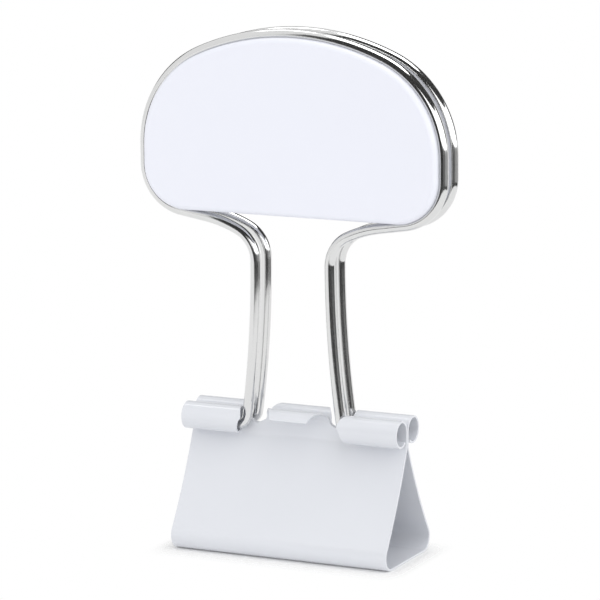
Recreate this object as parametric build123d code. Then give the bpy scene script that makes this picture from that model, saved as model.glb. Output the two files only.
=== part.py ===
from build123d import *
import os
from math import acos, asin, atan2, cos, degrees, hypot, radians, sin

# Foldback clip with a sign plate: one bent spring-steel body, two wire handles and one moulded plate.
# Millimetres. +Z is up, +X runs along the jaw, -Y is the front. The origin is the middle of the base.

# Clip body: one strip of painted spring steel, bent to a triangle with rolled and notched long edges
body_width = 51.0
body_depth = 23.3
body_height = 31.3
sheet = 0.5
corner_radius = 3.1
wall_bow_radius = 120.0
jaw_bend_radius = 3.0
jaw_gap = 0.12
lip_height = 3.0
curl_radius = 3.0
curl_sweep = 312.0

# Notches that let the wire legs through, and what they leave of the rolled edge
notch_width = 5.0
notch_depth = 3.9
notch_flat = 0.6
lip_room = 0.15
knuckle_round = 1.6
tab_drop = 2.0
tab_taper = 3.6

# Wire handles: one length of plated wire each, two feet, two bowed legs, a drawn-in neck and a half-round loop
wire = 2.3
handle_height = 113.3
loop_width = 72.1
crown_radius = 54.0
shoulder_radius = 22.2
loop_side = 4.2
loop_corner_radius = 10.1
flare_angle = 9.2
neck_lead_radius = 27.5
neck_lead_angle = 16.6
neck_radius = 7.3
waist_spacing = 17.5
leg_bow_radius = 240.0
foot_bend_radius = 2.2
foot_setback = 4.0
foot_end_chamfer = 0.3
foot_seat_angle = 24.0
foot_clearance = 0.3
leg_clearance = 0.05

# Sign plate: one plastic moulding, a flange on the front of the wire, a rim inside the loop and snap hooks
plate_overlap = 0.6
plate_flange = 1.45
plate_edge = 0.35
plate_wall = 1.2
plate_fit = 0.15
hook_reach = 0.5
hook_thickness = 0.6
hook_length = 9.0

# Cutters reach this far past what they cut
past = 1.0


# Places that follow from the driving dimensions
base_half = body_depth / 2 - corner_radius
lip_face = jaw_gap / 2 + sheet
curl_y = jaw_gap / 2 + curl_radius
curl_z = body_height - curl_radius
lip_base = curl_z - lip_height
wire_radius = wire / 2
foot_offset = curl_radius - sheet - wire_radius - foot_clearance
foot_y = curl_y - foot_offset * sin(radians(foot_seat_angle))
foot_z = curl_z - foot_offset * cos(radians(foot_seat_angle))

# The loop, the straight flare below it, and the waist where the two legs stand upright and closest together
loop_half = loop_width / 2 - wire_radius
loop_top = handle_height - wire_radius
crown_angle = degrees(asin((loop_half - shoulder_radius) / (crown_radius - shoulder_radius)))
crown_drop = crown_radius * (1 - cos(radians(crown_angle)))
side_top = loop_top - crown_drop - shoulder_radius * cos(radians(crown_angle))
flare_lean = radians(flare_angle)
neck_lean = radians(flare_angle + neck_lead_angle)
corner_reach = loop_corner_radius * (1 - sin(flare_lean))
corner_drop = loop_corner_radius * cos(flare_lean)
neck_reach = neck_lead_radius * (sin(neck_lean) - sin(flare_lean)) + neck_radius * (1 - sin(neck_lean))
neck_drop = neck_lead_radius * (cos(flare_lean) - cos(neck_lean)) + neck_radius * cos(neck_lean)
waist_half = waist_spacing / 2
flare_length = (loop_half - corner_reach - neck_reach - waist_half) / cos(flare_lean)
waist_z = side_top - loop_side - corner_drop - flare_length * sin(flare_lean) - neck_drop

# The legs bow outwards from the waist to the feet, and the notches follow the legs
leg_sweep = degrees(asin((waist_z - foot_bend_radius - foot_z) / (leg_bow_radius - foot_bend_radius)))
leg_half = waist_half + leg_bow_radius * (1 - cos(radians(leg_sweep)))
notch_outer = leg_half + wire_radius + leg_clearance
notch_inner = notch_outer - notch_width
notch_floor = body_height - notch_depth
notch_round = (notch_width - notch_flat) / 2
roll_cut_back = lip_face + lip_room


def wall_leans():
    """Lean of a bowed wall from upright, at the bottom corner and at the jaw bend.

    The bow touches the corner arc and the jaw bend, so its centre is found from theirs.
    """
    to_corner = corner_radius - sheet / 2 + wall_bow_radius
    to_jaw = wall_bow_radius - jaw_bend_radius
    across = base_half - (jaw_gap + sheet) / 2 - jaw_bend_radius
    up = lip_base - corner_radius
    apart = hypot(across, up)
    slope = degrees(atan2(up, across))
    at_corner = degrees(acos((to_corner**2 + apart**2 - to_jaw**2) / (2 * to_corner * apart)))
    at_jaw = degrees(acos((to_jaw**2 + apart**2 - to_corner**2) / (2 * to_jaw * apart)))
    return 180 - slope - at_corner, at_jaw - slope


def sheet_face(inner):
    """One face of the sheet's front half, from the middle of the base to the end of the curl.

    The face inside the triangle turns into the outside of the curl, and the other way about.
    """
    half = sheet / 2 if inner else -sheet / 2
    lean_low, lean_high = wall_leans()
    base = Line((0, sheet / 2 + half), (-base_half, sheet / 2 + half))
    corner = JernArc(base @ 1, base % 1, corner_radius - sheet / 2 - half, -90 - lean_low)
    wall = JernArc(corner @ 1, corner % 1, wall_bow_radius + half, lean_low - lean_high)
    jaw = JernArc(wall @ 1, wall % 1, jaw_bend_radius + half, lean_high)
    lip = Line(jaw @ 1, (jaw @ 1) + Vector(0, lip_height))
    curl = JernArc(lip @ 1, lip % 1, curl_radius - sheet / 2 + half, curl_sweep)
    return [base, corner, wall, jaw, lip, curl]


def bent_strip():
    """Front half of the strip, bent and rolled, before the notches are cut."""
    outside = sheet_face(False)
    inside = sheet_face(True)
    free_edge = Line(outside[-1] @ 1, inside[-1] @ 1)
    middle = Line(outside[0] @ 0, inside[0] @ 0)
    profile = make_face(Plane.YZ * Curve(outside + inside + [free_edge, middle]))
    return extrude(profile, body_width / 2, both=True)


def notch():
    """Room for one leg: a rounded notch in the lip, and a flared gap in the roll above the tab's edge."""
    top = body_height + past
    cut_front = curl_y + curl_radius + past
    flare = tab_taper * (cut_front - roll_cut_back) / (2 * curl_radius)
    lip_outline = Polyline(
        (notch_inner, top),
        (notch_inner, notch_floor),
        (notch_outer, notch_floor),
        (notch_outer, top),
        close=True,
    )
    lip_cut = make_face(lip_outline)
    lip_cut = fillet(lip_cut.vertices().group_by(Axis.Y)[0], notch_round)
    roll_outline = Polyline(
        (notch_inner, -roll_cut_back),
        (notch_outer, -roll_cut_back),
        (notch_outer, -cut_front),
        (notch_inner - flare, -cut_front),
        close=True,
    )
    through_lip = extrude(Plane.XZ * lip_cut, roll_cut_back)
    through_roll = extrude(Plane.XY.offset(notch_floor) * make_face(roll_outline), notch_depth + past)
    return through_lip + through_roll


def below_tab():
    """What is missing of the roll between the knuckles, below the short centre tab."""
    low = curl_z - curl_radius
    edge = Polyline((0, low), (notch_outer + knuckle_round, low))
    corner = JernArc(edge @ 1, (-1, 0), knuckle_round, -90)
    rest = Polyline(corner @ 1, (notch_outer, body_height - tab_drop), (0, body_height - tab_drop))
    half = Curve(edge.edges() + [corner] + rest.edges())
    outline = make_face(half + mirror(half, about=Plane.YZ))
    return extrude(Plane.XZ.offset(roll_cut_back) * outline, curl_y + curl_radius)


def clip_body():
    front = bent_strip() - notch() - mirror(notch(), about=Plane.YZ) - below_tab()
    return front + mirror(front, about=Plane.XZ)


def loop_arcs(inset, corner_turn):
    """Right half of the loop, from the top of the crown through the lower corner."""
    crown = JernArc((0, loop_top - inset), (1, 0), crown_radius - inset, -crown_angle)
    shoulder = JernArc(crown @ 1, crown % 1, shoulder_radius - inset, crown_angle - 90)
    side = Line(shoulder @ 1, (shoulder @ 1) - Vector(0, loop_side))
    corner = JernArc(side @ 1, (0, -1), loop_corner_radius - inset, -corner_turn)
    return [crown, shoulder, side, corner]


def wire_path():
    """Middle of the wire in the handle's own plane, foot to foot.

    Below the loop the wire turns one way all along: into the neck, out along the leg and into the foot.
    """
    loop = loop_arcs(0, 90 - flare_angle)
    corner_end = loop[-1] @ 1
    flare = Line(corner_end, corner_end + (loop[-1] % 1) * flare_length)
    neck_lead = JernArc(flare @ 1, flare % 1, neck_lead_radius, neck_lead_angle)
    neck = JernArc(neck_lead @ 1, neck_lead % 1, neck_radius, 90 - flare_angle - neck_lead_angle)
    leg = JernArc(neck @ 1, neck % 1, leg_bow_radius, leg_sweep)
    foot_bend = JernArc(leg @ 1, leg % 1, foot_bend_radius, 90 - leg_sweep)
    foot = Line(foot_bend @ 1, (body_width / 2 - foot_setback, foot_z))
    half = Curve(loop + [flare, neck_lead, neck, leg, foot_bend, foot])
    return Wire((half + mirror(half, about=Plane.YZ)).edges())


def handle():
    """Front handle, standing upright with its feet resting in the curls."""
    path = Plane.XZ.offset(foot_y) * wire_path()
    bar = sweep(Plane(path @ 0, z_dir=path % 0) * Circle(wire_radius), path)
    cut_ends = bar.faces().filter_by(Axis.X).edges()
    return chamfer(cut_ends, foot_end_chamfer)


def plate_outline(inset):
    """The loop's outline set in from the wire's middle, closed by a straight bottom edge."""
    arcs = loop_arcs(inset, 90)
    corner_end = arcs[-1] @ 1
    half = Curve(arcs + [Line(corner_end, (0, corner_end.Y))])
    return make_face(half + mirror(half, about=Plane.YZ))


def front_plate():
    wire_front = Plane.XZ.offset(foot_y + wire_radius)
    edge_inset = wire_radius - plate_overlap
    rim_inset = wire_radius + plate_fit
    hook_inset = rim_inset - hook_reach
    flange = extrude(wire_front * plate_outline(edge_inset), plate_flange)
    front_edges = flange.faces().sort_by(Axis.Y)[0].edges()
    flange = fillet(front_edges, plate_flange - plate_edge)
    rim_section = plate_outline(rim_inset) - plate_outline(rim_inset + plate_wall)
    rim_depth = wire + plate_fit + hook_thickness
    rim = extrude(wire_front * rim_section, -rim_depth)
    hook_section = plate_outline(hook_inset) - plate_outline(rim_inset)
    behind_wire = Plane.XZ.offset(foot_y - wire_radius - plate_fit)
    hook_ring = extrude(behind_wire * hook_section, -hook_thickness)
    at_sides = Pos(0, 0, side_top - loop_side / 2) * Box(loop_width, body_depth, hook_length)
    at_crown = Pos(0, 0, loop_top) * Box(hook_length, body_depth, hook_length)
    hooks = hook_ring & (at_sides + at_crown)
    return flange + rim + hooks


os.makedirs("parts", exist_ok=True)
front_handle = handle()
export_step(clip_body(), "parts/clip_body.step")
export_step(front_handle, "parts/front_handle.step")
export_step(mirror(front_handle, about=Plane.XZ), "parts/rear_handle.step")
export_step(front_plate(), "parts/front_plate.step")
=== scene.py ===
from math import acos, asin, atan2, cos, degrees, hypot, radians, sin, sqrt

import bmesh
import bpy
from mathutils import Matrix, Vector


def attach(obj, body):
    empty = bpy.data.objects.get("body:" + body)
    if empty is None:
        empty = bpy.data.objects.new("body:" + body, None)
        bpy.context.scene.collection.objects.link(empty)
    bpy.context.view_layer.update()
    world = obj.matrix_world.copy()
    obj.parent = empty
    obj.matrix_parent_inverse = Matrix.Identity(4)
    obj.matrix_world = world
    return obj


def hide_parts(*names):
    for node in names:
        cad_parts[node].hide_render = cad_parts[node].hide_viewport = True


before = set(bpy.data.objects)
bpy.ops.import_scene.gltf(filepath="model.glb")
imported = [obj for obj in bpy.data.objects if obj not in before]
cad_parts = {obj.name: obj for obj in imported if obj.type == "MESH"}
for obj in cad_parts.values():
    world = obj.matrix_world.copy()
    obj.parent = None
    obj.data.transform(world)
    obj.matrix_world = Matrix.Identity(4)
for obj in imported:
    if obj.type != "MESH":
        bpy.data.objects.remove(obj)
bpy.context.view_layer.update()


# Clip body: one strip of spring steel, 0.5 mm thick, bent to a triangle and rolled outwards along both
# jaws. Its edges are notched for the wire legs before bending, and the whole is painted white.
body_width = 0.051
body_depth = 0.0233
body_height = 0.0313
sheet = 0.0005
corner_radius = 0.0031
wall_bow_radius = 0.120
jaw_bend_radius = 0.003
jaw_gap = 0.00012
lip_height = 0.003
curl_radius = 0.003
curl_sweep = 312
notch_inner = 0.0073674
notch_outer = 0.0123674
notch_depth = 0.0039
notch_round = 0.0022
bulge_start = 80
bulge_full = 165
knuckle_bulge = 0.00095
knuckle_draw_back = 0.00175
draw_back_power = 0.55
tab_drop = 0.002
tab_taper_rate = 0.6
lip_room = 0.00015
cut_edge_round = 0.00012

# Fineness of the bent sheet, the angle that counts as a sharp edge, and the distance at which points join
corner_steps = 20
wall_steps = 12
jaw_steps = 8
lip_room_steps = 8
tab_steps = 24
roll_steps = 28
cut_edge_segments = 3
sharp_angle = 50
join_distance = 1e-6

base_half = body_depth / 2 - corner_radius
curl_middle = curl_radius - sheet / 2
curl_y = -jaw_gap / 2 - curl_radius
curl_z = body_height - curl_radius
lip_base = curl_z - lip_height
notch_floor = body_height - notch_depth
roll_cut_back = jaw_gap / 2 + sheet + lip_room
roll_margin = sheet / 10


class BentStock:
    """The end of a strip or wire, carried along runs and bends and leaving its surface behind."""

    def __init__(self, mesh, end, at, heading, bend_axis):
        self.mesh = mesh
        self.end = end
        self.at = Vector(at)
        self.heading = Vector(heading)
        self.bend_axis = Vector(bend_axis)

    def run(self, length):
        """Goes straight on."""
        made = bmesh.ops.extrude_edge_only(self.mesh, edges=self.end)["geom"]
        points = [g for g in made if isinstance(g, bmesh.types.BMVert)]
        bmesh.ops.translate(self.mesh, verts=points, vec=self.heading * length)
        fresh = set(points)
        self.end = [g for g in made if isinstance(g, bmesh.types.BMEdge) and set(g.verts) <= fresh]
        self.at += self.heading * length

    def bend(self, radius, angle, steps):
        """Turns left about the bend axis for a positive angle in degrees, right for a negative one."""
        side = 1 if angle > 0 else -1
        centre = self.at + side * radius * self.bend_axis.cross(self.heading)
        turn = Matrix.Rotation(radians(angle), 3, self.bend_axis)
        made = bmesh.ops.spin(
            self.mesh,
            geom=self.end,
            cent=centre,
            axis=self.bend_axis,
            angle=radians(angle),
            steps=steps,
        )["geom_last"]
        self.end = [g for g in made if isinstance(g, bmesh.types.BMEdge)]
        self.at = centre + turn @ (self.at - centre)
        self.heading = turn @ self.heading


def add_mirrored_half(mesh, axis):
    """Adds the other half of a mesh across the middle plane, and joins the two."""
    half = mesh.verts[:] + mesh.edges[:] + mesh.faces[:]
    bmesh.ops.mirror(mesh, geom=half, axis=axis, merge_dist=join_distance)
    bmesh.ops.remove_doubles(mesh, verts=mesh.verts, dist=join_distance)


def finished_piece(name, mesh):
    """Turns a bmesh into a smooth-shaded object at the origin."""
    data = bpy.data.meshes.new(name)
    mesh.to_mesh(data)
    mesh.free()
    data.shade_smooth()
    piece = bpy.data.objects.new(name, data)
    bpy.context.scene.collection.objects.link(piece)
    return piece


def wall_leans():
    """Lean of the bowed wall from upright, at the bottom corner and at the jaw bend."""
    to_corner = corner_radius - sheet / 2 + wall_bow_radius
    to_jaw = wall_bow_radius - jaw_bend_radius
    across = base_half - (jaw_gap + sheet) / 2 - jaw_bend_radius
    up = lip_base - corner_radius
    apart = hypot(across, up)
    slope = atan2(up, across)
    at_corner = acos((to_corner**2 + apart**2 - to_jaw**2) / (2 * to_corner * apart))
    at_jaw = acos((to_jaw**2 + apart**2 - to_corner**2) / (2 * to_jaw * apart))
    return 180 - degrees(slope + at_corner), degrees(at_jaw - slope)


def bent_half():
    """Front half of the strip's middle surface, from the middle of the base to the roll's free edge."""
    mesh = bmesh.new()
    right_stations = [notch_inner, notch_outer, body_width / 2]
    stations = [-x for x in reversed(right_stations)] + right_stations
    points = [mesh.verts.new((x, 0, sheet / 2)) for x in stations]
    row = [mesh.edges.new(pair) for pair in zip(points, points[1:])]
    lean_low, lean_high = wall_leans()
    to_lip_room = degrees(acos((curl_radius - sheet - lip_room) / curl_middle))
    to_tab_edge = 180 - degrees(asin((curl_radius - tab_drop) / curl_middle))
    strip = BentStock(mesh, row, at=points[0].co, heading=(0, -1, 0), bend_axis=(1, 0, 0))
    strip.run(base_half)
    strip.bend(corner_radius - sheet / 2, -90 - lean_low, corner_steps)
    strip.bend(wall_bow_radius, lean_low - lean_high, wall_steps)
    strip.bend(jaw_bend_radius, lean_high, jaw_steps)
    strip.run(notch_floor - lip_base)
    strip.run(curl_z - notch_floor)
    strip.bend(curl_middle, to_lip_room, lip_room_steps)
    strip.bend(curl_middle, to_tab_edge - to_lip_room, tab_steps)
    strip.bend(curl_middle, curl_sweep - to_tab_edge, roll_steps)
    return mesh


def cut_notches(mesh):
    """Opens the two leg notches and takes away the roll below the centre tab."""
    tab_edge_z = body_height - tab_drop
    gone = []
    for face in mesh.faces:
        middle = face.calc_center_median()
        across = abs(middle.x)
        in_notch = notch_inner < across < notch_outer and middle.z > notch_floor
        in_roll = middle.y < -roll_cut_back and middle.z > lip_base
        if in_notch or (in_roll and across < notch_outer and middle.z < tab_edge_z):
            gone.append(face)
    bmesh.ops.delete(mesh, geom=gone, context="FACES")


def knuckle_end(turned):
    """How far from the middle a knuckle ends, where the roll has turned by so many degrees.

    The end bulges inwards over the front of the roll and draws back underneath.
    """
    if turned < bulge_start:
        return notch_outer
    if turned < bulge_full:
        part = (turned - bulge_start) / (bulge_full - bulge_start)
        return notch_outer - knuckle_bulge * part**2 * (3 - 2 * part)
    part = (turned - bulge_full) / (curl_sweep - bulge_full)
    return notch_outer - knuckle_bulge + knuckle_draw_back * part**draw_back_power


def shape_notches(mesh):
    """Rounds the notch floors, shapes the knuckles' ends and tapers the centre tab."""
    floor_round_top = notch_floor + notch_round
    for vert in mesh.verts:
        if not vert.is_boundary or vert.co.z < lip_base:
            continue
        side = 1 if vert.co.x > 0 else -1
        across = abs(vert.co.x)
        at_inner = abs(across - notch_inner) < sheet
        at_outer = abs(across - notch_outer) < sheet
        in_roll = vert.co.y < -roll_cut_back - roll_margin
        if (at_inner or at_outer) and not in_roll and vert.co.z < floor_round_top:
            drop = min(floor_round_top - vert.co.z, notch_round)
            inward = notch_round - sqrt(notch_round**2 - drop**2)
            across += inward if at_inner else -inward
        elif at_inner and in_roll:
            across -= tab_taper_rate * (-vert.co.y - roll_cut_back)
        elif at_outer and in_roll:
            across = knuckle_end(degrees(atan2(vert.co.z - curl_z, vert.co.y - curl_y)) % 360)
        vert.co.x = side * across


body_mesh = bent_half()
cut_notches(body_mesh)
shape_notches(body_mesh)
add_mirrored_half(body_mesh, "Y")
bmesh.ops.recalc_face_normals(body_mesh, faces=body_mesh.faces)
clip_body = finished_piece("painted_clip_body", body_mesh)
thickness = clip_body.modifiers.new("sheet_thickness", "SOLIDIFY")
thickness.thickness = sheet
thickness.offset = 0
thickness.use_even_offset = True
softened = clip_body.modifiers.new("softened_cut_edges", "BEVEL")
softened.width = cut_edge_round
softened.segments = cut_edge_segments
softened.limit_method = "ANGLE"
softened.angle_limit = radians(sharp_angle)
softened.harden_normals = True


def surface_unevenness():
    """Shader group: broad patches and fine grain, for colour, gloss and bump that vary a little."""
    group = bpy.data.node_groups.new("surface_unevenness", "ShaderNodeTree")
    group.interface.new_socket("Patch Scale", in_out="INPUT", socket_type="NodeSocketFloat")
    group.interface.new_socket("Grain Scale", in_out="INPUT", socket_type="NodeSocketFloat")
    group.interface.new_socket("Stretch", in_out="INPUT", socket_type="NodeSocketVector")
    group.interface.new_socket("Patches", in_out="OUTPUT", socket_type="NodeSocketFloat")
    group.interface.new_socket("Grain", in_out="OUTPUT", socket_type="NodeSocketFloat")
    nodes = group.nodes
    links = group.links
    given = nodes.new("NodeGroupInput")
    result = nodes.new("NodeGroupOutput")
    place = nodes.new("ShaderNodeTexCoord")
    stretch = nodes.new("ShaderNodeVectorMath")
    stretch.operation = "MULTIPLY"
    links.new(place.outputs["Object"], stretch.inputs[0])
    links.new(given.outputs["Stretch"], stretch.inputs[1])
    for scale, output, detail in (("Patch Scale", "Patches", 3), ("Grain Scale", "Grain", 2)):
        noise = nodes.new("ShaderNodeTexNoise")
        noise.inputs["Detail"].default_value = detail
        noise.inputs["Roughness"].default_value = 0.55
        links.new(stretch.outputs["Vector"], noise.inputs["Vector"])
        links.new(given.outputs[scale], noise.inputs["Scale"])
        links.new(noise.outputs["Fac"], result.inputs[output])
    return group


unevenness = surface_unevenness()


def uneven_material(name, light_tone, dark_tone, scales, stretch, gloss_range, bump):
    """Material with its own Principled shader: two near tones, a roughness range and a fine bump."""
    patch_scale, grain_scale = scales
    smoothest, roughest = gloss_range
    bump_strength, bump_depth = bump
    material = bpy.data.materials.new(name)
    material.use_nodes = True
    nodes = material.node_tree.nodes
    links = material.node_tree.links
    shader = nodes["Principled BSDF"]
    surface = nodes.new("ShaderNodeGroup")
    surface.node_tree = unevenness
    surface.inputs["Patch Scale"].default_value = patch_scale
    surface.inputs["Grain Scale"].default_value = grain_scale
    surface.inputs["Stretch"].default_value = stretch
    tone = nodes.new("ShaderNodeMix")
    tone.data_type = "RGBA"
    tone.inputs["A"].default_value = (*dark_tone, 1)
    tone.inputs["B"].default_value = (*light_tone, 1)
    links.new(surface.outputs["Patches"], tone.inputs["Factor"])
    links.new(tone.outputs["Result"], shader.inputs["Base Color"])
    gloss = nodes.new("ShaderNodeMapRange")
    gloss.inputs["To Min"].default_value = smoothest
    gloss.inputs["To Max"].default_value = roughest
    links.new(surface.outputs["Patches"], gloss.inputs["Value"])
    links.new(gloss.outputs["Result"], shader.inputs["Roughness"])
    relief = nodes.new("ShaderNodeBump")
    relief.inputs["Strength"].default_value = bump_strength
    relief.inputs["Distance"].default_value = bump_depth
    links.new(surface.outputs["Grain"], relief.inputs["Height"])
    links.new(relief.outputs["Normal"], shader.inputs["Normal"])
    return material, shader


white_paint, paint_shader = uneven_material(
    "satin_white_paint",
    light_tone=(0.77, 0.787, 0.828),
    dark_tone=(0.75, 0.767, 0.813),
    scales=(60, 1400),
    stretch=(1, 1, 1),
    gloss_range=(0.10, 0.18),
    bump=(0.12, 0.00004),
)
paint_shader.inputs["Specular IOR Level"].default_value = 0.45
clip_body.data.materials.append(white_paint)
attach(clip_body, "body")
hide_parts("clip_body")


# Handles: two lengths of 2.3 mm steel wire, plated with bright nickel, each bent in one plane to a
# half-round loop, two legs and two feet. The feet turn outwards and lie in the rolls as hinge pins.
wire = 0.0023
handle_height = 0.1133
loop_width = 0.0721
crown_radius = 0.054
shoulder_radius = 0.0222
loop_side = 0.0042
loop_corner_radius = 0.0101
flare_angle = 9.2
neck_lead_radius = 0.0275
neck_lead_angle = 16.6
neck_radius = 0.0073
waist_spacing = 0.0175
leg_bow_radius = 0.240
foot_bend_radius = 0.0022
foot_setback = 0.004
foot_end_chamfer = 0.0003
foot_y = 0.0026329
foot_z = 0.0273408

# Fineness of the wire, round it and along its bends
ring_segments = 40
loop_steps = 28
neck_lead_steps = 12
neck_steps = 24
leg_steps = 24
foot_bend_steps = 20
foot_end_segments = 3

wire_radius = wire / 2
loop_half = loop_width / 2 - wire_radius
loop_top = handle_height - wire_radius
crown_angle = degrees(asin((loop_half - shoulder_radius) / (crown_radius - shoulder_radius)))


def carry_round_loop(stock, inset, corner_turn, steps):
    """Takes stock from the top of the loop over one shoulder and round the lower corner."""
    stock.bend(crown_radius - inset, -crown_angle, steps)
    stock.bend(shoulder_radius - inset, crown_angle - 90, steps)
    stock.run(loop_side)
    stock.bend(loop_corner_radius - inset, -corner_turn, steps)


def bent_wire(name, y):
    """One handle: half of it bent from the crown down to a foot, and mirrored."""
    mesh = bmesh.new()
    upright_ring = Matrix.Translation((0, y, loop_top)) @ Matrix.Rotation(radians(90), 4, "Y")
    bmesh.ops.create_circle(mesh, segments=ring_segments, radius=wire_radius, matrix=upright_ring)
    bar = BentStock(mesh, mesh.edges[:], at=(0, y, loop_top), heading=(1, 0, 0), bend_axis=(0, -1, 0))
    carry_round_loop(bar, 0, 90 - flare_angle, loop_steps)
    flare_lean = radians(flare_angle)
    neck_lean = radians(flare_angle + neck_lead_angle)
    neck_lead_reach = neck_lead_radius * (sin(neck_lean) - sin(flare_lean))
    neck_reach = neck_lead_reach + neck_radius * (1 - sin(neck_lean))
    bar.run((bar.at.x - neck_reach - waist_spacing / 2) / cos(flare_lean))
    bar.bend(neck_lead_radius, neck_lead_angle, neck_lead_steps)
    bar.bend(neck_radius, 90 - flare_angle - neck_lead_angle, neck_steps)
    leg_drop = bar.at.z - foot_bend_radius - foot_z
    leg_sweep = degrees(asin(leg_drop / (leg_bow_radius - foot_bend_radius)))
    bar.bend(leg_bow_radius, leg_sweep, leg_steps)
    bar.bend(foot_bend_radius, 90 - leg_sweep, foot_bend_steps)
    bar.run(body_width / 2 - foot_setback - bar.at.x)
    end_cap = bmesh.ops.edgeloop_fill(mesh, edges=bar.end)["faces"]
    bmesh.ops.bevel(
        mesh,
        geom=list(end_cap[0].edges),
        offset=foot_end_chamfer,
        segments=foot_end_segments,
        profile=0.5,
        affect="EDGES",
        material=-1,
    )
    add_mirrored_half(mesh, "X")
    bmesh.ops.recalc_face_normals(mesh, faces=mesh.faces)
    return finished_piece(name, mesh)


nickel_plate, nickel_shader = uneven_material(
    "bright_nickel_plate",
    light_tone=(0.71, 0.712, 0.71),
    dark_tone=(0.66, 0.662, 0.66),
    scales=(220, 2600),
    stretch=(1, 1, 0.25),
    gloss_range=(0.06, 0.15),
    bump=(0.05, 0.00002),
)
nickel_shader.inputs["Metallic"].default_value = 1

handles = (
    ("front_wire_handle", "front_handle", -foot_y),
    ("rear_wire_handle", "rear_handle", foot_y),
)
for handle_name, node, y in handles:
    bent_handle = bent_wire(handle_name, y)
    bent_handle.data.materials.append(nickel_plate)
    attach(bent_handle, node)
    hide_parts(node)


# Sign plate: one white plastic moulding that fills the front loop. Its flange lies on the front of the
# wire, a rim goes through the loop, and short hooks on the rim snap behind the wire.
plate_overlap = 0.0006
plate_flange = 0.00145
plate_edge = 0.00035
plate_wall = 0.0012
plate_fit = 0.00015
plate_seat = 0.00012
hook_reach = 0.0005
hook_thickness = 0.0006
hook_length = 0.009

# Fineness of the plate's outline and rounded front edge, and how squarely a hook's faces look outwards
outline_steps = 24
front_edge_segments = 8
hook_facing = 0.7

edge_inset = wire_radius - plate_overlap
rim_inset = wire_radius + plate_fit
wire_front_y = -foot_y - wire_radius
flange_front_y = wire_front_y - plate_flange
flange_middle_y = wire_front_y - plate_flange / 2
flange_back_y = wire_front_y + plate_seat
hook_y = wire_front_y + wire + plate_fit + hook_thickness / 2
crown_lean = radians(crown_angle)
side_top = loop_top - crown_radius * (1 - cos(crown_lean)) - shoulder_radius * cos(crown_lean)
side_middle_z = side_top - loop_side / 2


def moved_out(mesh, faces, direction, distance):
    """Extrudes a region of faces along a direction and returns its moved faces."""
    made = bmesh.ops.extrude_face_region(mesh, geom=faces)["geom"]
    bmesh.ops.delete(mesh, geom=faces, context="FACES")
    points = [g for g in made if isinstance(g, bmesh.types.BMVert)]
    bmesh.ops.translate(mesh, verts=points, vec=Vector(direction) * distance)
    return [g for g in made if isinstance(g, bmesh.types.BMFace)]


plate_mesh = bmesh.new()
edge_front = plate_mesh.verts.new((0, flange_front_y, loop_top - edge_inset))
edge_back = plate_mesh.verts.new((0, flange_back_y, loop_top - edge_inset))
edge_strip = BentStock(
    plate_mesh,
    [plate_mesh.edges.new((edge_front, edge_back))],
    at=edge_back.co,
    heading=(1, 0, 0),
    bend_axis=(0, -1, 0),
)
carry_round_loop(edge_strip, edge_inset, 90, outline_steps)
edge_strip.run(edge_strip.at.x)
add_mirrored_half(plate_mesh, "X")
front_edges = [e for e in plate_mesh.edges if all(v.co.y < flange_middle_y for v in e.verts)]
back_edges = [e for e in plate_mesh.edges if all(v.co.y > flange_middle_y for v in e.verts)]
bmesh.ops.edgeloop_fill(plate_mesh, edges=front_edges)
back_face = bmesh.ops.edgeloop_fill(plate_mesh, edges=back_edges)["faces"]
bmesh.ops.recalc_face_normals(plate_mesh, faces=plate_mesh.faces)
bmesh.ops.bevel(
    plate_mesh,
    geom=front_edges,
    offset=plate_flange - plate_edge,
    segments=front_edge_segments,
    profile=0.5,
    affect="EDGES",
    material=-1,
)
bmesh.ops.inset_region(
    plate_mesh,
    faces=back_face,
    thickness=rim_inset - edge_inset,
    use_even_offset=True,
)
rim_faces = bmesh.ops.inset_region(
    plate_mesh,
    faces=back_face,
    thickness=plate_wall,
    use_even_offset=True,
)["faces"]
rim_faces = moved_out(plate_mesh, rim_faces, (0, 1, 0), wire + plate_fit - plate_seat)
moved_out(plate_mesh, rim_faces, (0, 1, 0), hook_thickness)
bmesh.ops.recalc_face_normals(plate_mesh, faces=plate_mesh.faces)
for outward in ((1, 0, 0), (-1, 0, 0), (0, 0, 1)):
    along = Vector(outward)
    hook_faces = []
    for face in plate_mesh.faces:
        middle = face.calc_center_median()
        off_centre = middle.z - side_middle_z if outward[0] else middle.x
        behind_wire = abs(middle.y - hook_y) < hook_thickness / 4
        within_hook = abs(off_centre) < hook_length / 2
        if behind_wire and within_hook and face.normal.dot(along) > hook_facing:
            hook_faces.append(face)
    moved_out(plate_mesh, hook_faces, along, hook_reach)
bmesh.ops.recalc_face_normals(plate_mesh, faces=plate_mesh.faces)
sign_plate = finished_piece("white_sign_plate", plate_mesh)
sign_plate.data.set_sharp_from_angle(angle=radians(sharp_angle))
flat_front = sign_plate.modifiers.new("flat_faces_stay_flat", "WEIGHTED_NORMAL")
flat_front.keep_sharp = True

white_plastic, plastic_shader = uneven_material(
    "moulded_white_plastic",
    light_tone=(0.88, 0.895, 0.97),
    dark_tone=(0.865, 0.88, 0.96),
    scales=(45, 3000),
    stretch=(1, 1, 1),
    gloss_range=(0.36, 0.50),
    bump=(0.08, 0.00003),
)
plastic_shader.inputs["Specular IOR Level"].default_value = 0.3
sign_plate.data.materials.append(white_plastic)
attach(sign_plate, "front_handle")
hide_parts("front_plate")


# Studio: a white table under the clip, in a white room with soft light from the upper right, the front
# left and the right side. Dark and lit cards stand round the clip and hang over it. Only reflections see
# the cards, which give the bright wire its dark and white bands and the rolled edges their streaks.
table_size = 3
table_tone = 0.92
table_roughness = 0.9
table_glow = 0.18
table_fades = (("X", 0.0235, 0.031), ("Y", 0.0086, 0.018))
room_light = 0.72
room_white = 1.0


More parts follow.
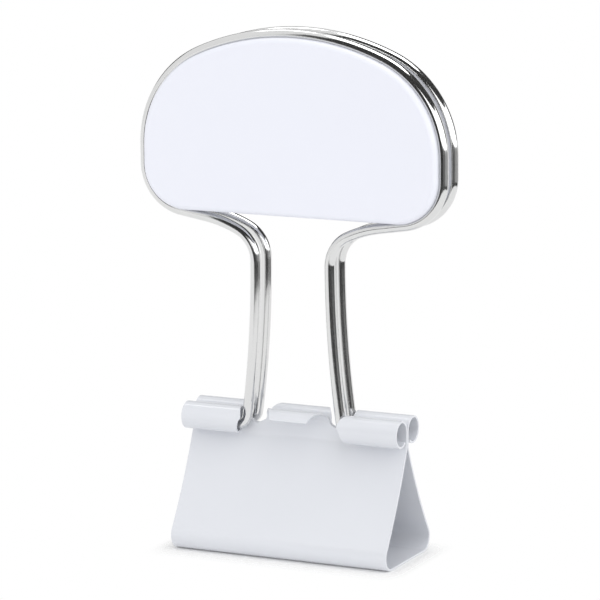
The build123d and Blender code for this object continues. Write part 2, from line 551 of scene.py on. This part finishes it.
def math_step(tree, operation, *sources):
    """Adds a Math node that takes outputs of other nodes or plain numbers, and returns its output."""
    step = tree.nodes.new("ShaderNodeMath")
    step.operation = operation
    for socket, source in zip(step.inputs, sources):
        if isinstance(source, bpy.types.NodeSocket):
            tree.links.new(source, socket)
        else:
            socket.default_value = source
    return step.outputs["Value"]


table_mesh = bmesh.new()
bmesh.ops.create_grid(table_mesh, x_segments=1, y_segments=1, size=table_size / 2)
white_table = finished_piece("white_table", table_mesh)
table_paper = bpy.data.materials.new("white_table_paper")
table_paper.use_nodes = True
paper_tree = table_paper.node_tree
paper_shader = paper_tree.nodes["Principled BSDF"]
paper_shader.inputs["Base Color"].default_value = (table_tone, table_tone, table_tone, 1)
paper_shader.inputs["Roughness"].default_value = table_roughness
paper_shader.inputs["Specular IOR Level"].default_value = 0
paper_shader.inputs["Emission Color"].default_value = (1, 1, 1, 1)
paper_rays = paper_tree.nodes.new("ShaderNodeLightPath").outputs
mirrored = math_step(
    paper_tree,
    "MAXIMUM",
    paper_rays["Is Glossy Ray"],
    paper_rays["Is Transmission Ray"],
)
mirrored_glow = math_step(paper_tree, "MULTIPLY", mirrored, table_glow)
paper_tree.links.new(mirrored_glow, paper_shader.inputs["Emission Strength"])

# To the camera the table keeps the shadow at the clip's base and fades into the white room past it, and
# from below it isn't there at all, so a handle folded below its level stays in sight and in the light.
paper_place = paper_tree.nodes.new("ShaderNodeTexCoord")
paper_axes = paper_tree.nodes.new("ShaderNodeSeparateXYZ")
paper_tree.links.new(paper_place.outputs["Object"], paper_axes.inputs["Vector"])
fades = []
for axis, fade_start, fade_end in table_fades:
    fade = paper_tree.nodes.new("ShaderNodeMapRange")
    fade.interpolation_type = "SMOOTHSTEP"
    fade.inputs["From Min"].default_value = fade_start
    fade.inputs["From Max"].default_value = fade_end
    fade.inputs["To Min"].default_value = 1
    fade.inputs["To Max"].default_value = 0
    off_middle = math_step(paper_tree, "ABSOLUTE", paper_axes.outputs[axis])
    paper_tree.links.new(off_middle, fade.inputs["Value"])
    fades.append(fade.outputs["Result"])
near_clip = math_step(paper_tree, "MULTIPLY", *fades)
cover = paper_tree.nodes.new("ShaderNodeMix")
cover.inputs["A"].default_value = 1
paper_tree.links.new(paper_rays["Is Camera Ray"], cover.inputs["Factor"])
paper_tree.links.new(near_clip, cover.inputs["B"])
underside = paper_tree.nodes.new("ShaderNodeNewGeometry").outputs["Backfacing"]
from_above = math_step(paper_tree, "SUBTRACT", cover.outputs["Result"], underside)
from_above.node.use_clamp = True
paper_tree.links.new(from_above, paper_shader.inputs["Alpha"])
white_table.data.materials.append(table_paper)

# The room lights the clip softly, and is full white to the camera and in reflections.
world = bpy.data.worlds.new("white_studio")
bpy.context.scene.world = world
world.use_nodes = True
room_tree = world.node_tree
room_rays = room_tree.nodes.new("ShaderNodeLightPath").outputs
in_sight = math_step(room_tree, "MAXIMUM", room_rays["Is Camera Ray"], room_rays["Is Glossy Ray"])
seen = math_step(room_tree, "MAXIMUM", in_sight, room_rays["Is Transmission Ray"])
room_level = room_tree.nodes.new("ShaderNodeMapRange")
room_level.inputs["To Min"].default_value = room_light
room_level.inputs["To Max"].default_value = room_white
room_tree.links.new(seen, room_level.inputs["Value"])
background = room_tree.nodes["Background"]
background.inputs["Color"].default_value = (1, 1, 1, 1)
room_tree.links.new(room_level.outputs["Result"], background.inputs["Strength"])

# Name, the way towards the light, its spread in degrees and its strength
soft_lights = (
    ("key_light", (0.50, -0.30, 0.80), 70, 0.75),
    ("fill_light", (-0.25, -0.95, 0.06), 60, 0.60),
    ("side_light", (0.95, 0.15, 0.30), 60, 0.35),
)
for light_name, towards, spread, strength in soft_lights:
    lamp = bpy.data.lights.new(light_name, "SUN")
    lamp.angle = radians(spread)
    lamp.energy = strength
    light = bpy.data.objects.new(light_name, lamp)
    light.rotation_euler = (-Vector(towards)).to_track_quat("-Z", "Y").to_euler()
    light.visible_glossy = False
    bpy.context.scene.collection.objects.link(light)


def card_material(name, tone, glow):
    """Plain card, dark or lit."""
    material = bpy.data.materials.new(name)
    material.use_nodes = True
    shader = material.node_tree.nodes["Principled BSDF"]
    shader.inputs["Base Color"].default_value = (tone, tone, tone, 1)
    shader.inputs["Specular IOR Level"].default_value = 0
    shader.inputs["Emission Color"].default_value = (1, 1, 1, 1)
    shader.inputs["Emission Strength"].default_value = glow
    return material


def stand_card(name, mesh, finish):
    """Puts up a card that the camera, soft light and shadows don't see."""
    card = finished_piece(name, mesh)
    card.data.materials.append(finish)
    card.visible_camera = False
    card.visible_diffuse = False
    card.visible_shadow = False


dark_card = card_material("dark_card", tone=0.065, glow=0)
grey_card = card_material("grey_card", tone=0.22, glow=0)
pale_card = card_material("pale_card", tone=0.5, glow=0)
white_card = card_material("white_card", tone=0.5, glow=0.5)
lit_card = card_material("lit_card", tone=0.8, glow=1.4)
bright_card = card_material("bright_card", tone=0.8, glow=4)

# Name, finish, distance from the clip's upright axis, lower and upper edge, and the two ends in degrees.
# The near card keeps the wire light along the plate's lower right corner.
curved_cards = (
    ("white_card_near", white_card, 0.04, 0.071, 0.086, -98, -70),
    ("dark_card_left", dark_card, 0.25, 0.033, 0.28, -115, -111),
    ("dark_card_front_left", dark_card, 0.25, 0.024, 0.55, -111, -102),
    ("dark_card_front_middle", dark_card, 0.25, 0.014, 0.55, -102, -95),
    ("dark_card_front", dark_card, 0.25, 0.0, 0.80, -95, -60),
    ("dark_card_low", dark_card, 0.25, 0.0, 0.022, -60, 42),
    ("grey_card_front", grey_card, 0.25, 0.022, 0.09, -60, -22),
    ("pale_card_right", pale_card, 0.25, 0.022, 0.09, -22, 42),
    ("dark_card_right", dark_card, 0.25, 0.09, 0.80, -60, 80),
    ("lit_card_right", lit_card, 0.22, 0.088, 0.205, -68, 36),
    ("dark_card_back", dark_card, 0.60, 0.27, 1.40, 60, 110),
    ("dark_card_back_low", dark_card, 0.60, 0.20, 0.42, 110, 170),
)
curve_steps = 40
for card_name, card_finish, card_radius, low, high, first_angle, last_angle in curved_cards:
    card_mesh = bmesh.new()
    turned = Matrix.Rotation(radians(first_angle), 3, "Z")
    ends = [card_mesh.verts.new(turned @ Vector((card_radius, 0, z))) for z in (low, high)]
    bmesh.ops.spin(
        card_mesh,
        geom=[card_mesh.edges.new(ends)],
        cent=(0, 0, 0),
        axis=(0, 0, 1),
        angle=radians(last_angle - first_angle),
        steps=curve_steps,
    )
    stand_card(card_name, card_mesh, card_finish)

# Name, finish, middle, and half the length of each side
flat_cards = (
    ("lit_card_overhead", bright_card, (0.075, 0.025, 0.55), (0.175, 0.175)),
    ("lit_card_rolls", bright_card, (-0.225, 0.09, 0.55), (0.085, 0.055)),
)
for card_name, card_finish, card_place, half_sides in flat_cards:
    card_mesh = bmesh.new()
    placed = Matrix.Translation(card_place) @ Matrix.Diagonal((*half_sides, 1, 1))
    bmesh.ops.create_grid(card_mesh, x_segments=1, y_segments=1, size=1, matrix=placed)
    stand_card(card_name, card_mesh, card_finish)


# Camera: a long lens to the right of the front and a little above, as the photograph was taken.
# Its place comes from the outlines of the body, the rolled edges and the wire loops in the photograph.
camera_azimuth = 25.73
camera_elevation = 10.862
camera_distance = 0.769111
camera_roll = -0.501
target_right = 0.00037
target_height = 0.054909
lens_mm = 216
sensor_mm = 36
nearest_seen = 0.01

azimuth = radians(camera_azimuth)
elevation = radians(camera_elevation)
backward = Vector((sin(azimuth) * cos(elevation), -cos(azimuth) * cos(elevation), sin(elevation)))
rightward = Vector((cos(azimuth), sin(azimuth), 0))
upward = backward.cross(rightward)
level_turn = Matrix((rightward, upward, backward)).transposed()
camera_turn = level_turn @ Matrix.Rotation(radians(camera_roll), 3, "Z")
camera_data = bpy.data.cameras.new("photo_camera")
camera_data.lens = lens_mm
camera_data.sensor_width = sensor_mm
camera_data.sensor_fit = "HORIZONTAL"
camera_data.clip_start = nearest_seen
camera = bpy.data.objects.new("photo_camera", camera_data)
eye = Vector((0, 0, target_height)) + rightward * target_right + backward * camera_distance
camera.matrix_world = Matrix.Translation(eye) @ camera_turn.to_4x4()
bpy.context.scene.collection.objects.link(camera)
bpy.context.scene.camera = camera
bpy.context.scene.view_settings.view_transform = "Standard"
